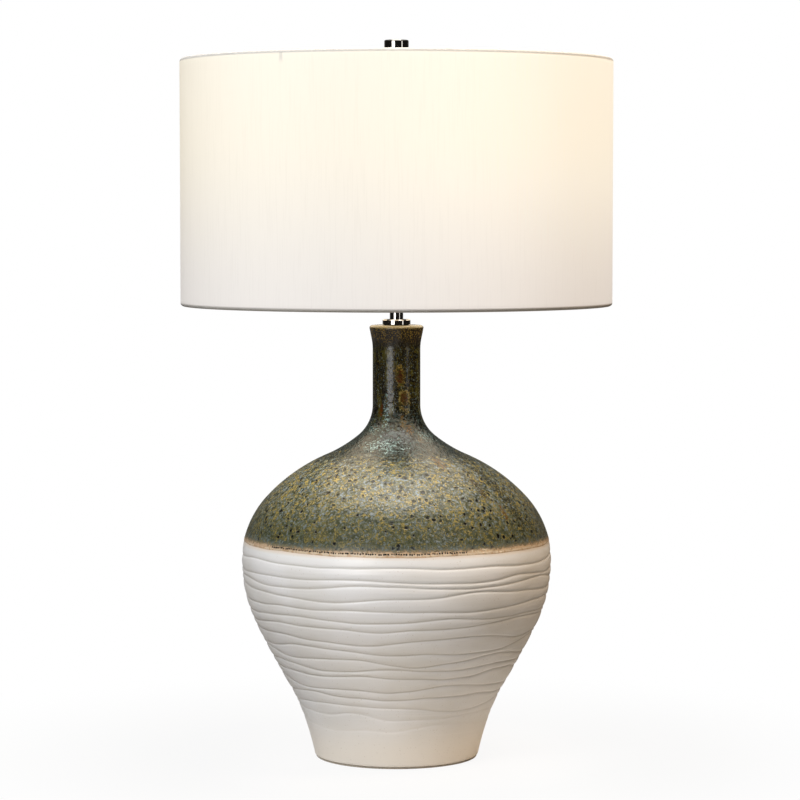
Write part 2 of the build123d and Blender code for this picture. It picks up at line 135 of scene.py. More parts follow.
# Runs of glaze on the neck and its root: angle from the front in degrees, then height, half width and half
# height in millimetres, and colour; the brown ones first, then the pale ones
GLAZE_RUNS = [
    (10, 402, 5.5, 9.5, "#8A7434"),
    (10, 400, 3.6, 7.0, "#431E08"),
    (20, 378, 6.0, 12.0, "#9C8C50"),
    (20, 376, 3.8, 8.5, "#4A280A"),
    (-39, 367, 2.6, 9.0, "#5A2C0A"),
    (15, 353, 4.0, 7.0, "#5A431A"),
    (25, 344, 4.5, 6.0, "#604419"),
    (36, 337, 5.0, 4.0, "#64481E"),
    (33, 314, 6.0, 5.0, "#5E4219"),
    (45, 290, 4.0, 14.0, "#3C2F14"),
    (58, 285, 9.0, 34.0, "#2E2C1A"),
    (50, 268, 3.0, 9.0, "#5A3D15"),
]
PALE_RUNS = [
    (-24, 366, 3.0, 19.0, "#809A97"),
    (-14, 331, 21.0, 6.0, "#839A95"),
    (-40, 345, 14.0, 5.0, "#5F7672"),
    (48, 338, 12.0, 5.0, "#5F7672"),
]

# The stretch of the glaze's edge that crumbled, given as a run is
CRUMBLED_EDGE = (32, 229.5, 15.0, 4.2)

# Shade cloth
SHADE_RADIUS = 225.0
SHADE_BOTTOM = 473.4
SHADE_TOP = 729.4
ROLL_RADIUS = 3.3
CLOTH = 0.8
HEM = 5.0
SEAM_WIDTH = 12.0
SEAM_RISE = 0.5
SEAM_SLOPE = 1.5
ROLL_STEPS = 13
CLOTH_STEPS = 65
INSIDE_STRIDE = 8
SHADE_SEGMENTS = 480

# Shade that the hems and the drop arms throw on the lit cloth: where it starts and ends, and for an arm how
# much it is drawn out downwards and how dim it is
HEM_SHADE = (2.2, 4.5)
ARM_ANGLES = [240, 0, 120]
ARM_SHADE = (1.2, 2.6)
ARM_DRAWN = 0.17
ARM_DIM = 0.6

# Zones of the finishes by height: where a colour or a change starts, and where it is full
PALE_BELT = (206.0, 222.0)
GLAZE_BLUSH = (223.0, 228.0)
# Painted light: the foot is coloured lighter and warmer, standing in for light bounced up from the floor
FOOT_BOUNCE_LIGHT = (60.0, 8.0)
DARK_BAND = (292.0, 242.0)
NECK_HAZE = (425.0, 360.0)
NECK_START = (344.0, 368.0)
NECK_SMOOTHED = (372.0, 410.0)
ROOT_END = (402.0, 376.0)
ROOT_DARK = (338.0, 354.0)
ROOT_HAZE = (336.0, 360.0)
LIP_DARK = (438.0, 453.0)
LIP_FLECKS = (447.0, 457.0)
LIP_RIM = (451.5, 453.0)
EDGE_GREY = (243.0, 237.0)
EDGE_TAN = (238.0, 234.5)
EDGE_BUFF = (235.5, 233.0)
EDGE_PALE = (230.6, 229.4)
EDGE_BLUSH = (231.0, 229.5)
# The painted glow of the shade cloth warms over the first zone below; over the second it grows towards the
# right
CLOTH_GLOW_WARMING = (470.0, 660.0)
CLOTH_RISE = (470.0, 600.0)

# The stretch across the shade, from left to right, over which its painted glow grows brighter and bluer,
# standing in for the light on its right side
CLOTH_SIDE = (-100.0, SHADE_RADIUS)

# How far streaks and patches in the glaze shift the heights of its zones, and how far its cells are stirred
NECK_STRAY = 60.0
LIP_STRAY = 26.0
RIM_STRAY = 4.0
EDGE_STRAY = 5.0
CELL_STIR = 4.0

# Felt ring under the foot
FELT_WIDTH = 4.0
FELT_EDGE = 0.6
FELT_EDGE_STEPS = 5
FELT_FUZZ = [(0.06, 37, 0.0), (0.05, 91, 1.0)]
FELT_SEGMENTS = 360

# The angle in degrees past which an edge stays sharp
CERAMIC_CREASE = 35
CLOTH_CREASE = 60

# Floor in metres: its half width, how far out and from what share it is whitened for the lens, where it
# passes under the foot, and where its paint darkens outwards, to the right and to the left
FLOOR_HALF = 9.0
WHITENING = (0.1, 0.6)
WHITENING_START = 0.9
FOOT_EDGE = (0.072, 0.082)
PAINT_OUTWARDS = (0.1, 0.26)
PAINT_RIGHT = (0.13, 0.34)
PAINT_LEFT = (-0.08, -0.22)

# Lights: name, whether it lights the lamp or is only mirrored in it, azimuth from the camera's side in
# degrees, then distance, height, width and depth in metres, watts, tint and shape
LIGHTS = [
    ("key_softbox", "lights", -33, 2.1, 1.95, 0.8, 1.2, 55, "#FFFFFF", "RECTANGLE"),
    ("key_card", "mirrored", -30, 2.3, 0.6, 1.1, 1.1, 15, "#FFFFFF", "RECTANGLE"),
    ("fill_softbox", "lights", 68, 1.35, 2.55, 0.5, 1.2, 53, "#FFE2BE", "RECTANGLE"),
    ("fill_card", "mirrored", 54, 2.4, 0.6, 0.3, 1.0, 1.9, "#FFFFFF", "RECTANGLE"),
    ("fill_window", "mirrored", 38, 2.3, 2.0, 0.22, 0.3, 2.5, "#FFFFFF", "RECTANGLE"),
    ("top_softbox", "lights", 0, 0.05, 2.4, 1.4, 1.4, 52, "#FFFDFA", "RECTANGLE"),
    ("top_card", "mirrored", 0, 0.05, 2.3, 1.4, 1.4, 20, "#FFFDFA", "RECTANGLE"),
    ("mouth_glow", "mirrored", 0, 0.0, 0.5, 0.42, 0.42, 0.5, "#FFE9C8", "ELLIPSE"),
    ("back_softbox", "lights", 180, 2.6, 1.2, 0.4, 1.2, 20, "#FFFFFF", "RECTANGLE"),
]
LIGHT_AIM = (0, 0, 0.36)

# Camera, as fitted to the photograph: place in metres, dip in radians, lens and sensor
CAMERA_PLACE = (0.00366, -3.0952, 0.5713)
CAMERA_DIP = 0.0635
CAMERA_LENS = 133.3
CAMERA_SENSOR = 36.0


def colour(code):
    """A linear RGBA colour from an sRGB hex value."""
    channels = [int(code[i:i + 2], 16) / 255 for i in (1, 3, 5)]
    return [c / 12.92 if c <= 0.04045 else ((c + 0.055) / 1.055) ** 2.4 for c in channels] + [1.0]


def feed(node, inputs):
    """Sets a node's inputs to values, or links them to sockets."""
    for socket, value in inputs.items():
        if isinstance(value, bpy.types.NodeSocket):
            node.id_data.links.new(value, node.inputs[socket])
        else:
            node.inputs[socket].default_value = value


def add(tree, kind, inputs=None, out=0, **settings):
    """Adds a node with its settings and inputs; returns one of its outputs, or the node if it has none."""
    node = tree.nodes.new(kind)
    for setting, value in settings.items():
        setattr(node, setting, value)
    feed(node, inputs or {})
    return node.outputs[out] if node.outputs else node


def metres(sizes):
    """Sizes in millimetres as metres."""
    return [size * MM for size in sizes]


def over(field, zone):
    """What a range takes in: a field, and where a zone in millimetres starts and is full."""
    low, high = metres(zone)
    return {"Value": field, "From Min": low, "From Max": high}


def per_mm(size):
    """The texture scale, in metres, that gives features of a size in millimetres."""
    return 1 / (size * MM)


# Outlines and meshes

def arc(start, heading, end, step):
    """Points from start on the arc that leaves along heading and ends at end, as complex radius + height."""
    chord = end - start
    half = np.angle(chord / heading)
    straight = abs(half) < TINY
    length = abs(chord) if straight else abs(chord) * half / sin(half)
    count = max(1, round(length / step))
    share = np.arange(count) / count
    if straight:
        return start + chord * share, heading
    points = start + heading * length * (np.exp(2j * half * share) - 1) / (2j * half)
    return points, heading * np.exp(2j * half)


def outline(turns, step):
    """Two tangent arcs between each pair of turns, as complex points at about the given step."""
    found = []
    for (r0, z0, lean0), (r1, z1, lean1) in zip(turns, turns[1:]):
        first, last = complex(r0, z0), complex(r1, z1)
        leave, arrive = np.exp(1j * radians(lean0)), np.exp(1j * radians(lean1))
        chord = last - first
        spread = 2 * (1 - (leave.conjugate() * arrive).real)
        lead = 2 * (chord.conjugate() * (leave + arrive)).real
        span = abs(chord) ** 2
        if spread < TINY:
            reach = span / lead
        else:
            reach = (sqrt(lead**2 + 4 * spread * span) - lead) / (2 * spread)
        middle = (first + leave * reach + last - arrive * reach) / 2
        near, heading = arc(first, leave, middle, step)
        far, heading = arc(middle, heading, last, step)
        found += [near, far]
    return np.concatenate([*found, [complex(*turns[-1][:2])]])


def moved_in(turns, depth):
    """The same turns on a surface that lies deeper by depth, square to the outline."""
    return [(r - depth * sin(radians(a)), z + depth * cos(radians(a)), a) for r, z, a in turns]


def path(*stretches):
    """One closed outline from stretches of points and single (radius, height) points."""
    return np.concatenate([[complex(*s)] if isinstance(s, tuple) else s for s in stretches])


def between(points, low, high):
    """The points of an outline whose height lies between two levels."""
    return points[(points.imag > low) & (points.imag < high)]


def in_scene(name, data):
    """A new object in the scene, at the origin."""
    made = bpy.data.objects.new(name, data)
    bpy.context.scene.collection.objects.link(made)
    return made


def segment_angles(count):
    """The angle of each of a number of even segments round the axis."""
    return np.arange(count) * 2 * pi / count


def ripple(waves, angles):
    """Waves round the axis added up; each has its height, how often it comes round, and where it starts."""
    return sum(tall * np.sin(count * angles + start) for tall, count, start in waves)


def ring_faces(count, segments):
    """Faces of a grid that closes both along the outline and round the axis, facing outwards."""
    ring, segment = np.meshgrid(np.arange(count), np.arange(segments), indexing="ij")
    above = (ring + 1) % count * segments
    beside = (segment + 1) % segments
    here = ring * segments
    return np.stack([here + segment, here + beside, above + beside, above + segment], -1).reshape(-1, 4)


def ringed_piece(name, radius, height, angles, material, crease):
    """A closed smooth mesh of rings round the axis, from radii and heights in millimetres by ring."""
    grid = np.stack(np.broadcast_arrays(radius * np.cos(angles), radius * np.sin(angles), height), -1)
    points = grid.reshape(-1, 3) * MM
    mesh = bpy.data.meshes.new(name)
    mesh.from_pydata(points.tolist(), [], ring_faces(*grid.shape[:2]).tolist())
    mesh.materials.append(material)
    mesh.shade_smooth()
    mesh.set_sharp_from_angle(angle=radians(crease))
    return in_scene(name, mesh)


def plain_mesh(made):
    """Keeps what an object's modifiers give as its own plain mesh."""
    graph = bpy.context.evaluated_depsgraph_get()
    shown = made.evaluated_get(graph)
    mesh = bpy.data.meshes.new_from_object(shown, preserve_all_data_layers=True, depsgraph=graph)
    made.modifiers.clear()
    made.data = mesh
    return made


def grown(made, tree, values):
    """Runs a geometry tree on an object with named inputs and keeps the result as a plain mesh."""
    modifier = made.modifiers.new(tree.name, "NODES")
    modifier.node_group = tree
    for item in tree.interface.items_tree:
        if item.in_out == "INPUT" and item.name in values:
            modifier[item.identifier] = values[item.name]
    return plain_mesh(made)


def geometry_tree(name, inputs):
    """A geometry tree with a Geometry input and output: what adds nodes to it, and its named inputs."""
    tree = bpy.data.node_groups.new(name, "GeometryNodeTree")
    tree.interface.new_socket("Geometry", in_out="INPUT", socket_type="NodeSocketGeometry")
    for label, kind in inputs.items():
        tree.interface.new_socket(label, in_out="INPUT", socket_type=kind)
    tree.interface.new_socket("Geometry", in_out="OUTPUT", socket_type="NodeSocketGeometry")
    return partial(add, tree), add(tree, "NodeGroupInput").node.outputs


# Materials

def new_finish(name):
    """A new material, what adds nodes to it, its shader and Object coordinates."""
    material = bpy.data.materials.new(name)
    material.use_nodes = True
    lay = partial(add, material.node_tree)
    return material, lay, material.node_tree.nodes["Principled BSDF"], lay("ShaderNodeTexCoord", out="Object")


def coat(lay, under, code, field, low=0.0, high=1.0, share=1.0):
    """Lays a colour over what is under it, up to a share, as a field goes from low to high."""
    span = {"Value": field, "From Min": low, "From Max": high, "To Max": share}
    mask = lay(RANGE, span, interpolation_type="SMOOTHSTEP")
    return lay(MIX, {0: mask, 6: under, 7: colour(code)}, out=2, data_type="RGBA")


def bare_stoneware():
    """White stoneware under a thin clear satin: almost even, with faint throwing lines and iron specks,
    painted shade in its grooves and painted bounce light on its foot.
    """
    material, lay, shader, where = new_finish("bare_stoneware")
    height = lay(SPLIT, {0: where}, out="Z")
    cut = lay("ShaderNodeAttribute", out="Fac", attribute_name="cut")
    clouds = lay(NOISE, {"Vector": where, "Scale": per_mm(70)})
    # Real specks and grit are a fraction of a millimetre; they are drawn coarser here, so that they show
    specks = lay(NOISE, {"Vector": where, "Scale": per_mm(1.4), "Detail": 0.0})
    grit = lay(NOISE, {"Vector": where, "Scale": per_mm(1.2)})
    levelled = lay(PLACED, {"Vector": where, "Scale": (0.05, 0.05, 1)})
    throwing = lay(NOISE, {"Vector": levelled, "Scale": per_mm(3), "Detail": 3.0})
    base = coat(lay, colour("#E0E0E1"), "#D9D8D6", clouds, 0.4, 0.7)
    base = coat(lay, base, "#E6E5E4", throwing, 0.5, 0.8, 0.5)
    base = coat(lay, base, "#E4E4E4", height, *metres(PALE_BELT))
    base = coat(lay, base, "#DCCBB6", height, *metres(GLAZE_BLUSH), 0.7)
    # Painted light: a lighter, warmer foot in place of the floor's bounced light
    base = coat(lay, base, "#E8E2D9", height, *metres(FOOT_BOUNCE_LIGHT))
    base = coat(lay, base, "#B5AA9A", specks, 0.76, 0.82, 0.4)
    # Painted shade: darker where the rings are cut deepest, in their grooves
    base = coat(lay, base, "#A59E94", cut, 0.4, 1.0, 0.5)
    relief = lay(MATH, {0: throwing, 1: 3.0, 2: grit}, operation="MULTIPLY_ADD")
    bump = lay(BUMP, {"Height": relief, "Distance": 0.04 * MM, "Strength": 0.3})
    feed(shader, {"Base Color": base, "Roughness": 0.36, "Specular IOR Level": 0.6, "Normal": bump})
    return material


def off_run(lay, around, height, angle, level, wide, tall):
    """How far a point lies from the middle of an oval run of glaze, counted in the run's half sizes."""
    aside = lay(MATH, {0: around, 1: radians(angle)}, operation="SUBTRACT")
    across = lay(MATH, {0: aside, 1: float(skin_radius(level)) / wide}, operation="MULTIPLY")
    along = lay(RANGE, over(height, (level, level + tall)), clamp=False)
    place = lay("ShaderNodeCombineXYZ", {"X": across, "Y": along})
    return lay(VECTOR, {0: place}, out="Value", operation="LENGTH")


def reactive_glaze():
    """Glossy reactive glaze: olive pools, grey-blue haze, ochre hairs and pinholes, run dark on the neck."""
    material, lay, shader, where = new_finish("reactive_glaze")
    split = lay(SPLIT, {0: where}).node.outputs
    height = split["Z"]
    to_front = lay(MATH, {0: split["Y"], 1: -1.0}, operation="MULTIPLY")
    around = lay(MATH, {0: split["X"], 1: to_front}, operation="ARCTAN2")
    clouds = lay(NOISE, {"Vector": where, "Scale": per_mm(34)})
    patches = lay(NOISE, {"Vector": where, "Scale": per_mm(6), "Detail": 3.0, "Distortion": 0.6})
    speckle = lay(NOISE, {"Vector": where, "Scale": per_mm(2.6)})
    hair = lay(NOISE, {"Vector": where, "Scale": per_mm(7.5), "Distortion": 1.4})
    drawn = lay(PLACED, {"Vector": where, "Scale": (1, 1, 0.16)})
    streaks = lay(NOISE, {"Vector": drawn, "Scale": per_mm(5), "Detail": 3.0, "Distortion": 0.5})
    stirred = lay(NOISE, {"Vector": where, "Scale": per_mm(5)}, out="Color")
    swirl = lay(VECTOR, {0: stirred, 1: metres([CELL_STIR] * 3), 2: where}, operation="MULTIPLY_ADD")
    cells = lay("ShaderNodeTexVoronoi", {"Vector": swirl, "Scale": per_mm(7.2)}).node.outputs
    drawing = lay("ShaderNodeSeparateColor", {"Color": cells["Color"]}).node.outputs
    past_hair = lay(MATH, {0: hair, 1: 0.5}, operation="SUBTRACT")
    off_hair = lay(MATH, {0: past_hair}, operation="ABSOLUTE")
    past_ring = lay(MATH, {0: cells["Distance"], 1: 0.4}, operation="SUBTRACT")
    off_ring = lay(MATH, {0: past_ring}, operation="ABSOLUTE")
    broken = lay(RANGE, {"Value": patches, "From Min": 0.48, "From Max": 0.56})
    some_cells = lay(RANGE, {"Value": drawing["Green"], "From Min": 0.25, "From Max": 0.45})
    ringed = lay(RANGE, {"Value": speckle, "From Min": 0.44, "From Max": 0.56, "To Max": some_cells})
    pitted = lay(RANGE, {"Value": drawing["Red"], "From Min": 0.35, "From Max": 0.45})
    flecks = lay(RANGE, {"Value": speckle, "From Min": 0.46, "From Max": 0.6})

    shoulder = coat(lay, colour("#5E614A"), "#68664A", clouds, 0.5, 0.68)
    shoulder = coat(lay, shoulder, "#343824", patches, 0.47, 0.37)
    shoulder = coat(lay, shoulder, "#7F8A90", speckle, 0.48, 0.59, 0.85)
    shoulder = coat(lay, shoulder, "#2E301F", off_ring, 0.16, 0.09, 0.6)
    shoulder = coat(lay, shoulder, "#2E301F", off_hair, 0.1, 0.06, 0.5)
    shoulder = coat(lay, shoulder, "#A28E4A", off_ring, 0.065, 0.02, ringed)
    shoulder = coat(lay, shoulder, "#9A8644", off_hair, 0.04, 0.015, broken)
    shoulder = coat(lay, shoulder, "#3A3D28", height, *metres(DARK_BAND), 0.55)
    shoulder = coat(lay, shoulder, "#0A0804", cells["Distance"], 0.27, 0.2, pitted)

    fine = lay(NOISE, {"Vector": where, "Scale": per_mm(1.7), "Detail": 1.0})
    fine_flecks = lay(RANGE, {"Value": fine, "From Min": 0.5, "From Max": 0.6})
    run_flecks = lay(RANGE, {"Value": fine, "From Min": 0.42, "From Max": 0.56})
    lower_neck = lay(RANGE, {**over(height, NECK_HAZE), "To Min": 0.3})
    neck = coat(lay, colour("#1C190B"), "#4A4719", streaks, 0.46, 0.6)
    neck = coat(lay, neck, "#0B0A05", patches, 0.48, 0.38)
    neck = coat(lay, neck, "#544B1C", fine, 0.42, 0.34, 0.8)
    neck = coat(lay, neck, "#76847F", fine, 0.59, 0.67, lower_neck)
    strayed = lay(MATH, {0: streaks, 1: NECK_STRAY * MM, 2: height}, operation="MULTIPLY_ADD")
    on_neck = lay(RANGE, over(strayed, NECK_START), interpolation_type="SMOOTHSTEP")
    body = lay(MIX, {0: on_neck, 6: shoulder, 7: neck}, out=2, data_type="RGBA")

    below_neck = lay(RANGE, over(strayed, ROOT_END))
    dark_root = lay(MATH, {0: below_neck, 1: 0.9}, operation="MULTIPLY")
    body = coat(lay, body, "#0C0E09", strayed, *metres(ROOT_DARK), dark_root)
    at_root = lay(MATH, {0: below_neck, 1: flecks}, operation="MULTIPLY")
    body = coat(lay, body, "#3A4642", strayed, *metres(ROOT_HAZE), at_root)
    under_lip = lay(MATH, {0: streaks, 1: LIP_STRAY * MM, 2: height}, operation="MULTIPLY_ADD")
    body = coat(lay, body, "#150C04", under_lip, *metres(LIP_DARK), 0.9)
    body = coat(lay, body, "#6E5B25", under_lip, *metres(LIP_FLECKS), fine_flecks)
    rim = lay(MATH, {0: patches, 1: RIM_STRAY * MM, 2: height}, operation="MULTIPLY_ADD")
    body = coat(lay, body, "#7A6C45", rim, *metres(LIP_RIM))
    ragged = lay(MATH, {0: hair, 1: 3.0, 2: -1.5}, operation="MULTIPLY_ADD")
    for *oval, tint in GLAZE_RUNS:
        strayed_off = lay(MATH, {0: off_run(lay, around, height, *oval), 1: ragged})
        body = coat(lay, body, tint, strayed_off, 1.2, 0.6, run_flecks)
    for *oval, tint in PALE_RUNS:
        strayed_off = lay(MATH, {0: off_run(lay, around, height, *oval), 1: ragged})
        body = coat(lay, body, tint, strayed_off, 1.3, 0.5, fine_flecks)

    torn = lay(MATH, {0: patches, 1: EDGE_STRAY * MM, 2: -EDGE_STRAY / 2 * MM}, operation="MULTIPLY_ADD")
    torn_height = lay(MATH, {0: torn, 1: height})
    edge = lay(MATH, {0: speckle, 1: EDGE_STRAY * MM, 2: torn_height}, operation="MULTIPLY_ADD")
    body = coat(lay, body, "#6C7678", edge, *metres(EDGE_GREY), 0.2)
    body = coat(lay, body, "#8F7C5F", edge, *metres(EDGE_TAN), 0.6)
    body = coat(lay, body, "#B59C7F", edge, *metres(EDGE_BUFF))
    below_dots = lay(RANGE, over(height, EDGE_PALE))
    body = coat(lay, body, "#CBB9A1", patches, 0.4, 0.5, below_dots)
    body = coat(lay, body, "#C3A283", edge, *metres(EDGE_BLUSH), 0.7)
    body = coat(lay, body, "#C9B89E", off_run(lay, around, height, *CRUMBLED_EDGE), 1.15, 0.75, flecks)

    lumps = lay(MATH, {0: off_ring, 1: -1.4, 2: speckle}, operation="MULTIPLY_ADD")
    pits = lay(RANGE, {"Value": cells["Distance"], "From Min": 0.3, "From Max": 0.2, "To Max": pitted})
    sunk = lay(MATH, {0: pits, 1: -1.0, 2: lumps}, operation="MULTIPLY_ADD")
    pebbled = lay(MATH, {0: fine, 1: 0.6, 2: sunk}, operation="MULTIPLY_ADD")
    flatter = lay(RANGE, {**over(strayed, NECK_SMOOTHED), "To Min": 0.7, "To Max": 0.3})
    bump = lay(BUMP, {"Height": pebbled, "Distance": 0.5 * MM, "Strength": flatter})
    feed(shader, {"Base Color": body, "IOR": 1.5, "Roughness": 0.2, "Normal": bump})
    return material


def burst_glaze():
    """Iron-dark glaze in the row of burst bubbles along the glaze line."""
    material, lay, shader, where = new_finish("burst_glaze")
    tint = lay(NOISE, {"Vector": where, "Scale": per_mm(6), "Detail": 1.0})
    base = coat(lay, colour("#120D08"), "#3A281A", tint, 0.5, 0.7)
    feed(shader, {"Base Color": base, "Roughness": 0.6})
    return material


def plated(name, code, dull, roughness, spread):
    """Plated or bare metal: an even colour, dulled in faint clouds, with turning lines round the axis."""
    material, lay, shader, where = new_finish(name)
    clouds = lay(NOISE, {"Vector": where, "Scale": per_mm(14), "Detail": 3.0})
    levelled = lay(PLACED, {"Vector": where, "Scale": (0.1, 0.1, 1)})
    # Real turning lines lie about 0.1 mm apart; they are drawn coarser here, so that they show
    lines = lay(NOISE, {"Vector": levelled, "Scale": per_mm(0.8)})
    rough = lay(MATH, {0: clouds, 1: spread, 2: roughness - spread / 2}, operation="MULTIPLY_ADD")
    bump = lay(BUMP, {"Height": lines, "Distance": 0.02 * MM, "Strength": 0.1})
    base = coat(lay, colour(code), dull, clouds, 0.5, 0.8)
    feed(shader, {"Base Color": base, "Metallic": 1.0, "Roughness": rough, "Normal": bump})
    return material


def moulded(name, code, faded, roughness, grain):
    """Moulded plastic, rubber, fibre or glass, or enamel: a slightly uneven colour and a fine skin grain."""
    material, lay, shader, where = new_finish(name)
    clouds = lay(NOISE, {"Vector": where, "Scale": per_mm(9)})
    # The grain is a size in millimetres; a real one is finer, and is drawn coarser here, so that it shows
    pebbles = lay(NOISE, {"Vector": where, "Scale": per_mm(grain)})
    bump = lay(BUMP, {"Height": pebbles, "Distance": 0.08 * MM, "Strength": 0.3})
    base = coat(lay, colour(code), faded, clouds, 0.45, 0.75)
    feed(shader, {"Base Color": base, "Roughness": roughness, "Normal": bump})
    return material


def pressed_felt():
    """Pressed wool felt: matted pale grey-brown fibres."""
    material, lay, shader, where = new_finish("pressed_felt")
    # Real fibres are far finer than a tenth of a millimetre; they are drawn coarser here, so that they show
    fibres = lay(NOISE, {"Vector": where, "Scale": per_mm(1.2), "Detail": 5.0, "Distortion": 2.0})
    bump = lay(BUMP, {"Height": fibres, "Distance": 0.4 * MM, "Strength": 0.7})
    base = coat(lay, colour("#9C9283"), "#B9B0A2", fibres, 0.45, 0.7)
    feed(shader, {"Base Color": base, "Roughness": 0.95, "Sheen Weight": 0.3, "Normal": bump})
    return material


def lit_opal(name, strength):
    """Opal bulb with the lamp on: even and bright, a little warmer in patches."""
    material, lay, shader, where = new_finish(name)
    frost = lay(NOISE, {"Vector": where, "Scale": per_mm(20), "Detail": 1.0})
    base = coat(lay, colour("#DCD6CB"), "#D2CABD", frost)
    glow = coat(lay, colour("#FFE3B8"), "#FFDCA8", frost, 0.4, 0.7)
    feed(shader, {"Base Color": base, "Roughness": 0.25})
    feed(shader, {"Emission Color": glow, "Emission Strength": strength})
    return material


def shade_cloth():
    """White slubbed cloth with a painted glow for the light from within: warm, brightest towards the top and
    the right, with painted shade at hems and drop arms.
    """
    material, lay, shader, where = new_finish("shade_cloth")
    split = lay(SPLIT, {0: where}).node.outputs
    height = split["Z"]
    drawn = lay(PLACED, {"Vector": where, "Scale": (1, 1, 0.03)})
    # Real threads lie about 0.4 mm apart; they are drawn coarser here, so that they show
    threads = lay(NOISE, {"Vector": drawn, "Scale": per_mm(1.6)})
    lit = 1.0
    for hem, inward in ((SHADE_BOTTOM, 1), (SHADE_TOP, -1)):
        span = {**over(height, [hem + inward * off for off in HEM_SHADE]), "To Max": lit}
        lit = lay(RANGE, span, interpolation_type="SMOOTHSTEP")
    for angle in ARM_ANGLES:
        aside, ahead = SHADE_RADIUS * cos(radians(angle)), SHADE_RADIUS * sin(radians(angle))
        gap = lay(VECTOR, {0: where, 1: metres([aside, ahead, SHADE_TOP])}, operation="SUBTRACT")
        level = lay(VECTOR, {0: gap, 1: (1, 1, 0)}, operation="MULTIPLY")
        across = lay(VECTOR, {0: level}, out="Value", operation="LENGTH")
        below = lay(MATH, {0: lay(SPLIT, {0: gap}, out="Z"), 1: -ARM_DRAWN}, operation="MULTIPLY")
        off_arm = lay(MATH, {0: across, 1: below}, operation="MAXIMUM")
        dimmed = lay(MATH, {0: lit, 1: ARM_DIM}, operation="MULTIPLY")
        span = {**over(off_arm, ARM_SHADE), "To Min": dimmed, "To Max": lit}
        lit = lay(RANGE, span, interpolation_type="SMOOTHSTEP")
    base = coat(lay, colour("#ACAAA6"), "#CBC9C6", lit)
    base = coat(lay, base, "#C2C0BD", threads, 0.5, 0.68, 0.35)
    # Painted light: the cloth glows by emission, standing in for the bulb's light shining through it
    glow_colour = coat(lay, colour("#7F7B79"), "#998F74", height, *metres(CLOTH_GLOW_WARMING))
    # Painted light: the glow grows brighter and bluer towards the right side, more so higher up
    higher = lay(RANGE, {**over(height, CLOTH_RISE), "To Min": 0.13, "To Max": 0.23})
    grown_side = {**over(split["X"], CLOTH_SIDE), "To Max": higher}
    rightwards = lay(RANGE, grown_side, interpolation_type="SMOOTHSTEP")
    from_side = lay(VECTOR, {0: (0.96, 1.04, 1.13), "Scale": rightwards}, operation="SCALE")
    glow_colour = lay(VECTOR, {0: glow_colour, 1: from_side})
    glow = lay(MIX, {0: lit, 6: colour("#161617"), 7: glow_colour}, out=2, data_type="RGBA")
    bump = lay(BUMP, {"Height": threads, "Distance": 0.12 * MM, "Strength": 0.25})
    feed(shader, {"Base Color": base, "Roughness": 0.9, "Normal": bump})
    feed(shader, {"Emission Color": glow, "Emission Strength": 1.0})
    return material


def shade_film():
    """The white backing film inside the shade, glowing with the lamp's light."""
    material, lay, shader, where = new_finish("shade_film")
    haze = lay(NOISE, {"Vector": where, "Scale": per_mm(80), "Detail": 1.0})
    base = coat(lay, colour("#D6D2CA"), "#CCC7BD", haze)
    glow = coat(lay, colour("#FFF3E2"), "#FFECD2", haze)
    feed(shader, {"Base Color": base, "Roughness": 0.5, "Emission Color": glow, "Emission Strength": 0.3})
    return material


# Trees that make geometry

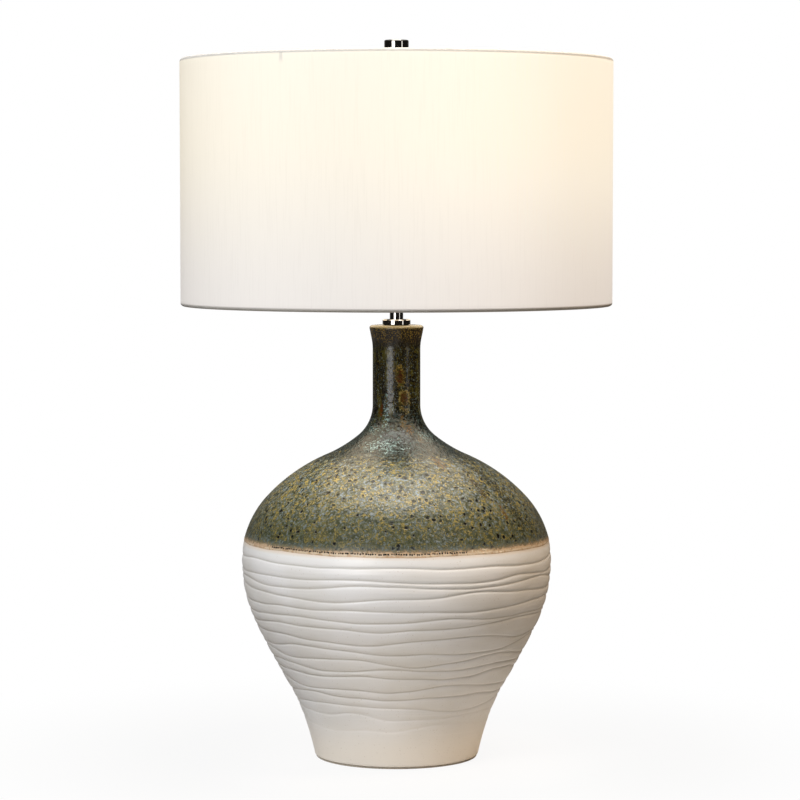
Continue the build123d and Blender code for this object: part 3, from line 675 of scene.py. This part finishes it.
def incised_rings_tree(material):
    """Cuts wandering rings into a turned body; a ring that would cross the one above runs into it instead."""
    lay, given = geometry_tree("incised_rings", {
        "Rings": "NodeSocketInt",
        "First height": "NodeSocketFloat",
        "Spacing": "NodeSocketFloat",
        "Wander": "NodeSocketFloat",
        "Waves": "NodeSocketFloat",
        "Width": "NodeSocketFloat",
        "Depth": "NodeSocketFloat",
        "Pillow width": "NodeSocketFloat",
        "Pillow depth": "NodeSocketFloat",
        "Fade bottom": "NodeSocketFloat",
        "Fade top": "NodeSocketFloat",
        "Seed": "NodeSocketFloat",
    })
    position = lay("GeometryNodeInputPosition")
    height = lay(SPLIT, {0: position}, out="Z")
    level = lay(VECTOR, {0: position, 1: (1, 1, 0)}, operation="MULTIPLY")
    round_axis = lay(VECTOR, {0: level}, operation="NORMALIZE")
    circle = lay(VECTOR, {0: round_axis, "Scale": given["Waves"]}, operation="SCALE")

    begin = lay("GeometryNodeRepeatInput").node
    finish = lay("GeometryNodeRepeatOutput").node
    begin.pair_with_output(finish)
    start = lay(STORE, {"Geometry": given["Geometry"], "Name": "ring", "Value": 1.0})
    feed(begin, {"Geometry": start, "Iterations": given["Rings"]})
    turn = begin.outputs["Iteration"]
    apart = lay(MATH, {0: turn, 1: RING_APART, 2: given["Seed"]}, operation="MULTIPLY_ADD")
    sample = lay(VECTOR, {0: circle, 1: lay("ShaderNodeCombineXYZ", {"Z": apart})})
    wave = lay(NOISE, {"Vector": sample, "Scale": 1.0, "Detail": 1.5, "Roughness": 0.4})
    below = lay(MATH, {0: turn, 1: given["Spacing"]}, operation="MULTIPLY")
    rest = lay(MATH, {0: given["First height"], 1: below}, operation="SUBTRACT")
    swing = lay(MATH, {0: wave, 1: 0.5}, operation="SUBTRACT")
    strayed = lay(MATH, {0: swing, 1: given["Wander"], 2: rest}, operation="MULTIPLY_ADD")
    above = lay(NAMED, {"Name": "ring"})
    ring = lay(MATH, {0: above, 1: strayed, 2: RING_MERGE * MM}, operation="SMOOTH_MIN")
    carved = lay(STORE, {"Geometry": begin.outputs["Geometry"], "Name": "ring", "Value": ring})
    gap = lay(MATH, {0: height, 1: lay(NAMED, {"Name": "ring"})}, operation="SUBTRACT")
    for name, width in (("cut", "Width"), ("pillow", "Pillow width")):
        off = lay(MATH, {0: gap, 1: given[width]}, operation="DIVIDE")
        square = lay(MATH, {0: off, 1: off}, operation="MULTIPLY")
        falling = lay(MATH, {0: square, 1: -1.0}, operation="MULTIPLY")
        bell = lay(MATH, {0: falling}, operation="EXPONENT")
        deepest = lay(MATH, {0: lay(NAMED, {"Name": name}), 1: bell}, operation="MAXIMUM")
        carved = lay(STORE, {"Geometry": carved, "Name": name, "Value": deepest})
    feed(finish, {"Geometry": carved})

    fade = lay(RANGE, {"Value": height, "From Min": given["Fade bottom"], "From Max": given["Fade top"]})
    share = lay(MATH, {0: fade, 1: lay(NAMED, {"Name": "outside"})}, operation="MULTIPLY")
    cut = lay(MATH, {0: lay(NAMED, {"Name": "cut"}), 1: share}, operation="MULTIPLY")
    pillow = lay(MATH, {0: lay(NAMED, {"Name": "pillow"}), 1: share}, operation="MULTIPLY")
    dished = lay(MATH, {0: pillow, 1: given["Pillow depth"]}, operation="MULTIPLY")
    depth = lay(MATH, {0: cut, 1: given["Depth"], 2: dished}, operation="MULTIPLY_ADD")
    inward = lay(MATH, {0: depth, 1: -1.0}, operation="MULTIPLY")
    offset = lay(VECTOR, {0: lay("GeometryNodeInputNormal"), "Scale": inward}, operation="SCALE")
    moved = lay("GeometryNodeSetPosition", {"Geometry": finish.outputs["Geometry"], "Offset": offset})
    # The cut's depth is kept for the stoneware's finish, which paints shade into the grooves by it
    marked = lay(STORE, {"Geometry": moved, "Name": "cut", "Value": cut})
    solid = lay("GeometryNodeRealizeInstances", {"Geometry": marked})
    done = lay("GeometryNodeSetMaterial", {"Geometry": solid, "Material": material})
    return lay("NodeGroupOutput", {"Geometry": done}).id_data


def scattered_tree(material):
    """A small bead of random size on every point."""
    lay, given = geometry_tree("burst_bubbles", {
        "Bead radius": "NodeSocketFloat",
        "Smallest": "NodeSocketFloat",
        "Seed": "NodeSocketInt",
    })
    bead = lay("GeometryNodeMeshIcoSphere", {"Radius": given["Bead radius"], "Subdivisions": 2})
    size = lay("FunctionNodeRandomValue", {2: given["Smallest"], 3: 1.0, "Seed": given["Seed"]}, out=1)
    strewn = {"Points": given["Geometry"], "Instance": bead, "Scale": size}
    beads = lay("GeometryNodeInstanceOnPoints", strewn)
    solid = lay("GeometryNodeRealizeInstances", {"Geometry": beads})
    done = lay("GeometryNodeSetMaterial", {"Geometry": solid, "Material": material})
    return lay("NodeGroupOutput", {"Geometry": done}).id_data


# Pieces

SKIN = outline([FOOT_LAND, *BODY_TURNS, *LIP_TURNS], SKIN_STEP)
LINING = outline(moved_in(BODY_TURNS, WALL), LINING_STEP)
MOUTH_RADIUS = LINING[0].real


def skin_radius(height):
    """The body's outer radius at a height, both in millimetres."""
    return np.interp(height, SKIN.imag, SKIN.real)


def glaze_wobble(angles):
    """How far the glaze line strays from level round the body, in millimetres."""
    return GLAZE_DIP * (1 + np.sin(angles)) + GLAZE_WOBBLE * ripple(GLAZE_RIPPLES, angles)


def cord_hole_cutter():
    """A round cutter through the back of the foot wall."""
    cutter_mesh = bpy.data.meshes.new("cord_hole_cutter")
    count = CORD_HOLE_SIDES
    angles = segment_angles(count)
    ends = []
    for depth in CORD_HOLE_REACH:
        ends.append(np.stack([
            CORD_HOLE_RADIUS * np.cos(angles),
            np.full(count, depth),
            CORD_HOLE_HEIGHT + CORD_HOLE_RADIUS * np.sin(angles),
        ], -1))
    sides = [[i, (i + 1) % count, count + (i + 1) % count, count + i] for i in range(count)]
    caps = [list(range(count))[::-1], list(range(count, 2 * count))]
    cutter_mesh.from_pydata((np.concatenate(ends) * MM).tolist(), [], sides + caps)
    return in_scene("cord_hole_cutter", cutter_mesh)


def stoneware_body(material):
    """The bare lower body with its incised rings, its floor and the recess under it."""
    wall = between(SKIN, 0, GLAZE_SEAT)
    inside = between(LINING, FLOOR_TOP, GLAZE_SEAT)[::-1]
    recess = between(LINING, 0, FLOOR_BOTTOM)[::-1]
    floor_edge = np.interp([FLOOR_TOP, FLOOR_BOTTOM], LINING.imag, LINING.real)
    seat = np.interp(GLAZE_SEAT, LINING.imag, LINING.real)
    rings = path(
        wall,
        (skin_radius(GLAZE_SEAT), GLAZE_SEAT),
        (seat, GLAZE_SEAT),
        inside,
        (floor_edge[0], FLOOR_TOP),
        (ROD_HOLE_RADIUS, FLOOR_TOP),
        (ROD_HOLE_RADIUS, FLOOR_BOTTOM),
        (floor_edge[1], FLOOR_BOTTOM),
        recess,
        (MOUTH_RADIUS, FOOT_LAND[1]),
    )
    angles = segment_angles(BODY_SEGMENTS)
    radius, height = rings.real[:, None], rings.imag[:, None]
    body = ringed_piece("stoneware_body", radius, height, angles, material, CERAMIC_CREASE)
    outside = body.data.attributes.new("outside", "FLOAT", "POINT")
    share = np.repeat(np.arange(len(rings)) < len(wall), BODY_SEGMENTS)
    outside.data.foreach_set("value", share.astype(np.float32))
    grown(body, incised_rings_tree(material), {
        "Rings": RING_COUNT,
        "First height": RING_FIRST * MM,
        "Spacing": RING_SPACING * MM,
        "Wander": RING_WANDER * MM,
        "Waves": RING_WAVES,
        "Width": RING_WIDTH * MM,
        "Depth": RING_DEPTH * MM,
        "Pillow width": PILLOW_WIDTH * MM,
        "Pillow depth": PILLOW_DEPTH * MM,
        "Fade bottom": RING_FADE[0] * MM,
        "Fade top": RING_FADE[1] * MM,
        "Seed": RING_SEED,
    })
    cutter = cord_hole_cutter()
    hole = body.modifiers.new("cord_hole", "BOOLEAN")
    hole.object = cutter
    hole.solver = "EXACT"
    plain_mesh(body)
    bpy.data.objects.remove(cutter)
    return body


def glazed_shoulder(material):
    """The glazed upper body: a coat with a rolled, wandering lower edge, the neck and the closed top."""
    skin = SKIN[SKIN.imag > GLAZE_LINE]
    rise = skin.imag - GLAZE_LINE
    normal = -1j * np.gradient(skin) / abs(np.gradient(skin))
    rolled = GLAZE_COAT + GLAZE_ROLL * np.exp(-rise / GLAZE_ROLL_HEIGHT)
    thickness = rolled * (1 - np.exp(-rise / GLAZE_TOE))
    thickness *= np.clip((LIP_TOP - BARE_LIP - skin.imag) / LIP_FEATHER, 0, 1)
    throat = LINING[-1].real
    inside = between(LINING, GLAZE_SEAT, NECK_CEILING)[::-1]
    seat = np.interp(GLAZE_SEAT, LINING.imag, LINING.real)
    bond = between(SKIN, GLAZE_LINE + BOND_MARGIN, GLAZE_SEAT - BOND_MARGIN)[::-BOND_STRIDE]
    rings = path(
        skin + normal * thickness,
        (ROD_HOLE_RADIUS, LIP_TOP),
        (ROD_HOLE_RADIUS, NECK_CEILING),
        (throat, NECK_CEILING),
        inside,
        (seat, GLAZE_SEAT),
        (skin_radius(GLAZE_SEAT), GLAZE_SEAT),
        bond,
    )
    angles = segment_angles(BODY_SEGMENTS)
    radius, height = rings.real[:, None], rings.imag[:, None]
    low = height < GLAZE_SEAT - BOND_MARGIN / 2
    wander = glaze_wobble(angles) * np.exp(-(height - GLAZE_LINE) / GLAZE_WOBBLE_HEIGHT)
    strayed = height + np.where(low, wander, 0)
    proud = radius - skin_radius(height)
    followed = np.where(low, skin_radius(strayed) + proud, radius)
    return ringed_piece("glazed_shoulder", followed, strayed, angles, material, CERAMIC_CREASE)


def glaze_bubbles(material):
    """The row of burst bubbles just above the glaze line."""
    draw = np.random.default_rng(BUBBLE_PLACE_SEED)
    step = BUBBLE_SPACING / skin_radius(GLAZE_LINE)
    arcs = [np.arange(radians(first), radians(last), step) for first, last in BUBBLE_ARCS]
    angles = np.concatenate(arcs) - pi / 2
    angles += draw.uniform(-BUBBLE_STRAY, BUBBLE_STRAY, len(angles)) * step
    lift = draw.uniform(-BUBBLE_LIFT, BUBBLE_LIFT, len(angles))
    height = GLAZE_LINE + BUBBLE_RISE + glaze_wobble(angles) * BUBBLE_FOLLOW + lift
    radius = skin_radius(height) + GLAZE_COAT
    points = np.stack([radius * np.cos(angles), radius * np.sin(angles), height], -1) * MM
    mesh = bpy.data.meshes.new("glaze_bubbles")
    mesh.from_pydata(points.tolist(), [], [])
    made = in_scene("glaze_bubbles", mesh)
    grown(made, scattered_tree(material), {
        "Bead radius": BUBBLE_RADIUS * MM,
        "Smallest": BUBBLE_SMALLEST,
        "Seed": BUBBLE_SIZE_SEED,
    })
    made.data.shade_smooth()
    return made


def rolled_cloth(material):
    """The cloth drum: rolled inwards round the wire at each end, tucked behind it, lapped at a back seam."""
    middle = SHADE_RADIUS - ROLL_RADIUS
    inner = ROLL_RADIUS - CLOTH
    top, bottom = SHADE_TOP - ROLL_RADIUS, SHADE_BOTTOM + ROLL_RADIUS
    half_turn = np.linspace(0, pi, ROLL_STEPS)
    levels = np.linspace(bottom, top, CLOTH_STEPS)[1:-1]
    rings = path(
        SHADE_RADIUS + 1j * levels,
        middle + 1j * top + ROLL_RADIUS * np.exp(1j * half_turn),
        (middle - ROLL_RADIUS, top - HEM),
        (middle - inner, top - HEM),
        middle + 1j * top + inner * np.exp(1j * half_turn[::-1]),
        middle + inner + 1j * levels[::-INSIDE_STRIDE],
        middle + 1j * bottom + inner * np.exp(-1j * half_turn),
        (middle - inner, bottom + HEM),
        (middle - ROLL_RADIUS, bottom + HEM),
        middle + 1j * bottom + ROLL_RADIUS * np.exp(-1j * half_turn[::-1]),
    )
    angles = segment_angles(SHADE_SEGMENTS)
    radius, height = rings.real[:, None], rings.imag[:, None]
    from_seam = abs(angles - pi / 2) * SHADE_RADIUS
    lap = SEAM_RISE * np.clip((SEAM_WIDTH / 2 - from_seam) / SEAM_SLOPE, 0, 1)
    lapped = radius + np.where(radius > SHADE_RADIUS - CLOTH / 2, lap, 0)
    return ringed_piece("shade_cloth", lapped, height, angles, material, CLOTH_CREASE)


def felt_ring(material):
    """The felt ring under the foot, soft-edged and slightly uneven."""
    low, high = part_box("foot_felt_ring")
    thickness = (high.z - low.z) / MM
    outer, inner = FOOT_LAND[0], FOOT_LAND[0] - FELT_WIDTH
    corner = np.linspace(0, pi / 2, FELT_EDGE_STEPS)
    rings = path(
        outer - FELT_EDGE + 1j * FELT_EDGE + FELT_EDGE * np.exp(1j * (corner - pi / 2)),
        (outer, thickness),
        (inner, thickness),
        inner + FELT_EDGE + 1j * FELT_EDGE + FELT_EDGE * np.exp(1j * (corner + pi)),
    )
    angles = segment_angles(FELT_SEGMENTS)
    radius, height = rings.real[:, None], rings.imag[:, None]
    fuzz = np.where(height < thickness / 2, ripple(FELT_FUZZ, angles), 0)
    return ringed_piece("felt_ring", radius * (1 + fuzz / outer), height, angles, material, CLOTH_CREASE)


def dress_body():
    """Replaces the ceramic body and its felt."""
    glaze = reactive_glaze()
    body = stoneware_body(bare_stoneware())
    shoulder = glazed_shoulder(glaze)
    bubbles = glaze_bubbles(burst_glaze())
    felt = felt_ring(pressed_felt())
    slots = ["stoneware", "reactive_glaze", "reactive_glaze", "felt"]
    for made, slot in zip([body, shoulder, bubbles, felt], slots):
        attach(made, "base")
    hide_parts("ceramic_body")
    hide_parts("ceramic_body")
    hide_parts("foot_felt_ring")


def dress_shade():
    """Replaces the shade's cloth."""
    cloth = rolled_cloth(shade_cloth())
    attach(cloth, "shade")
    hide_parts("shade_fabric")


def dress_hardware():
    """Gives every CAD piece that stays its finish."""
    finishes = {
        "nickel": plated("polished_nickel", "#C9C4BC", "#B9B2A8", 0.07, 0.06),
        "zinc_steel": plated("zinc_plate", "#B4B8BC", "#9A9C98", 0.36, 0.2),
        "brass": plated("bare_brass", "#C9A45C", "#9C7A3E", 0.28, 0.2),
        "bulb_metal": plated("rolled_aluminium", "#C8C9CA", "#B0B0AE", 0.3, 0.15),
        "rubber": moulded("moulded_rubber", "#1E1D1C", "#2B2A28", 0.7, 0.8),
        "phenolic": moulded("moulded_phenolic", "#241C17", "#33281F", 0.35, 1.6),
        "nylon": moulded("moulded_nylon", "#DEDBD2", "#D0CCC0", 0.45, 1.2),
        "fibre": moulded("vulcanised_fibre", "#8C6A44", "#74553A", 0.65, 0.7),
        # Painted light: the bulb's plastic housing is given a glow like the globe's
        "bulb_housing": lit_opal("lit_opal_neck", 0.25),
        "bulb_bead": moulded("black_glass_bead", "#0E0E10", "#17171A", 0.1, 2.5),
        "bulb_opal": lit_opal("lit_opal_globe", 0.5),
        "shade_film": shade_film(),
        "shade_wire": moulded("white_enamel", "#D9D6CF", "#CBC7BE", 0.3, 2.0),
    }
    for part in frame["record"]["subparts"]:
        material = finishes.get(part["material_slot"])
        if material:
            slots = frame["nodes"][part["node"]].data.materials
            slots.clear()
            slots.append(material)


# Floor, light and camera

def make_floor():
    """A plain floor, white for the lens but for a soft shadow; its paint throws less light from the sides."""
    corners = [(x * FLOOR_HALF, y * FLOOR_HALF, 0) for x, y in ((-1, -1), (1, -1), (1, 1), (-1, 1))]
    mesh = bpy.data.meshes.new("floor")
    mesh.from_pydata(corners, [], [[0, 1, 2, 3]])
    floor = in_scene("floor", mesh)
    material = bpy.data.materials.new("studio_floor")
    material.use_nodes = True
    material.node_tree.nodes.clear()
    lay = partial(add, material.node_tree)
    rays = lay("ShaderNodeLightPath").node.outputs
    seen = lay(MATH, {0: rays["Is Camera Ray"], 1: rays["Is Transmission Ray"]}, operation="MAXIMUM")
    where = lay("ShaderNodeTexCoord", out="Object")
    reach = lay(VECTOR, {0: where}, out="Value", operation="LENGTH")
    span = {"Value": reach, "From Min": WHITENING[0], "From Max": WHITENING[1], "To Min": WHITENING_START}
    whiteness = lay(RANGE, span, interpolation_type="SMOOTHSTEP")
    past_foot = {"Value": reach, "From Min": FOOT_EDGE[0], "From Max": FOOT_EDGE[1], "To Max": whiteness}
    share = lay(MATH, {0: seen, 1: lay(RANGE, past_foot)}, operation="MULTIPLY")
    sideways = lay(SPLIT, {0: where}, out="X")
    paint = coat(lay, colour("#CDC9C3"), "#9B9995", reach, *PAINT_OUTWARDS)
    paint = coat(lay, paint, "#564B3A", sideways, *PAINT_RIGHT, 0.85)
    paint = coat(lay, paint, "#464648", sideways, *PAINT_LEFT, 0.5)
    matte = lay("ShaderNodeBsdfDiffuse", {"Color": paint})
    white = lay("ShaderNodeEmission", {"Color": colour("#FFFFFF"), "Strength": 1.0})
    surface = lay("ShaderNodeMixShader", {0: share, 1: matte, 2: white})
    lay("ShaderNodeOutputMaterial", {"Surface": surface})
    mesh.materials.append(material)


def make_world():
    """White behind the lamp; reflections find a dim room in front of it, on the camera's side."""
    world = bpy.data.worlds.new("studio")
    bpy.context.scene.world = world
    world.use_nodes = True
    world.node_tree.nodes.clear()
    lay = partial(add, world.node_tree)
    rays = lay("ShaderNodeLightPath").node.outputs
    way = lay("ShaderNodeTexCoord", out="Generated")
    ahead = lay(VECTOR, {0: way, 1: (0, -1, 0)}, out="Value", operation="DOT_PRODUCT")
    upward = lay(SPLIT, {0: way}, out="Z")
    mirrored = coat(lay, colour("#5A5855"), "#1E1D1C", ahead, -0.85, -0.6)
    mirrored = coat(lay, mirrored, "#A19D98", upward, 0.35, 0.9)
    ambient = coat(lay, colour("#7A7876"), "#BFC0C2", upward, 0.1, 0.8)
    sideways = lay(SPLIT, {0: way}, out="X")
    ambient = coat(lay, ambient, "#4C4A48", sideways, -0.4, -0.95, 0.5)
    ambient = coat(lay, ambient, "#4A4033", sideways, 0.0, 0.8, 0.95)
    soft = lay(MIX, {0: rays["Is Glossy Ray"], 6: ambient, 7: mirrored}, out=2, data_type="RGBA")
    to_lens = lay(MATH, {0: rays["Is Camera Ray"], 1: rays["Is Transmission Ray"]}, operation="MAXIMUM")
    shown = lay(MIX, {0: to_lens, 6: soft, 7: colour("#FFFFFF")}, out=2, data_type="RGBA")
    lay("ShaderNodeOutputWorld", {"Surface": lay("ShaderNodeBackground", {"Color": shown})})


def make_light(name, role, azimuth, distance, height, width, depth, power, tint, shape):
    """A softbox that lights the lamp, or a card that is only mirrored in it; both face the body."""
    light = bpy.data.lights.new(name, "AREA")
    light.shape = shape
    light.size, light.size_y = width, depth
    light.energy = power
    light.color = colour(tint)[:3]
    lamp = in_scene(name, light)
    lamp.visible_camera = False
    lamp.visible_diffuse = role == "lights"
    lamp.visible_glossy = role == "mirrored"
    lamp.location = (distance * sin(radians(azimuth)), -distance * cos(radians(azimuth)), height)
    aim = Vector(LIGHT_AIM) - lamp.location
    lamp.rotation_euler = aim.to_track_quat("-Z", "Y").to_euler()


def make_camera():
    """The photograph's viewpoint."""
    lens = bpy.data.cameras.new("camera")
    lens.lens = CAMERA_LENS
    lens.sensor_width = CAMERA_SENSOR
    camera = in_scene("camera", lens)
    camera.location = CAMERA_PLACE
    camera.rotation_euler = (pi / 2 - CAMERA_DIP, 0, 0)
    bpy.context.scene.camera = camera


dress_body()
dress_shade()
dress_hardware()
make_floor()
make_world()
for light in LIGHTS:
    make_light(*light)
make_camera()
bpy.context.scene.view_settings.view_transform = "Standard"
